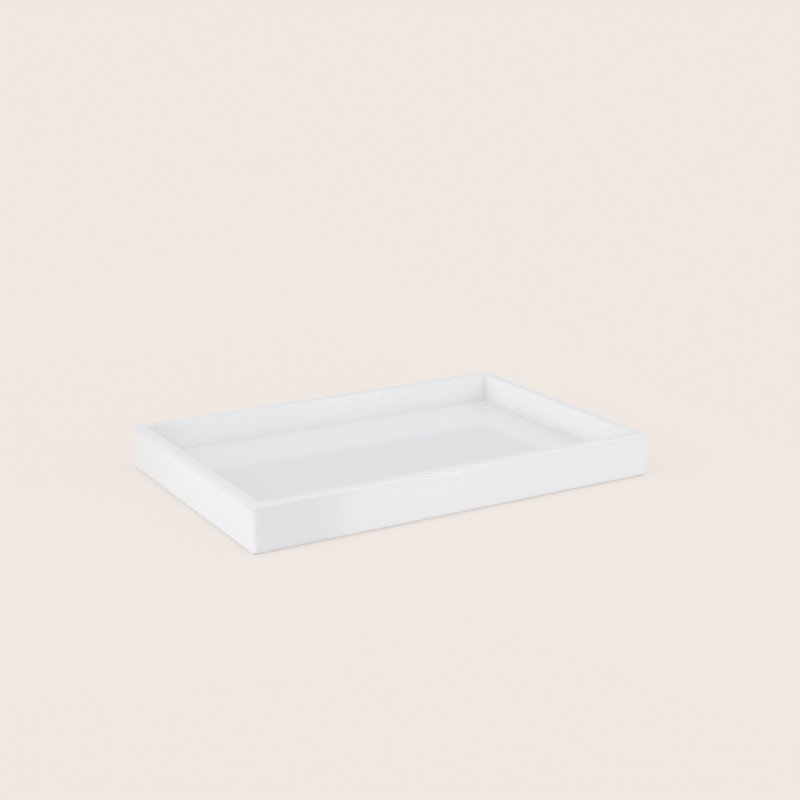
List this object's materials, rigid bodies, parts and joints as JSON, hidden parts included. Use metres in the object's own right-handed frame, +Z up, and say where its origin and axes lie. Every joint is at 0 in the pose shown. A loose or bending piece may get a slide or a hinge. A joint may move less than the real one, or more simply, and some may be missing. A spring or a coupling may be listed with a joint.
{
  "type": "paint roller tray",
  "caption": "Shallow rectangular tray of white gloss-lacquered board: mitred walls round a flat raised floor, with soft pads under the corners.",
  "frame": {"origin": "on the surface that the tray stands on, under the middle of its floor", "axes": "+X along the length to the right, +Y from front to back, +Z up"},
  "size_m": [0.3, 0.2, 0.03],
  "materials": {
    "floor_lacquer": "white high-gloss lacquer on board",
    "wall_lacquer": "white high-gloss lacquer on board",
    "spline_beech": "bare planed beech",
    "pad_rubber": "matt white non-slip rubber"
  },
  "bodies": {
    "root": {"floor_board": "floor_lacquer", "front_wall": "wall_lacquer", "back_wall": "wall_lacquer", "left_wall": "wall_lacquer", "right_wall": "wall_lacquer", "spline_front_left": "spline_beech", "spline_front_right": "spline_beech", "spline_back_left": "spline_beech", "spline_back_right": "spline_beech", "pad_front_left": "pad_rubber", "pad_front_right": "pad_rubber", "pad_back_left": "pad_rubber", "pad_back_right": "pad_rubber"}
  },
  "joints": []
}
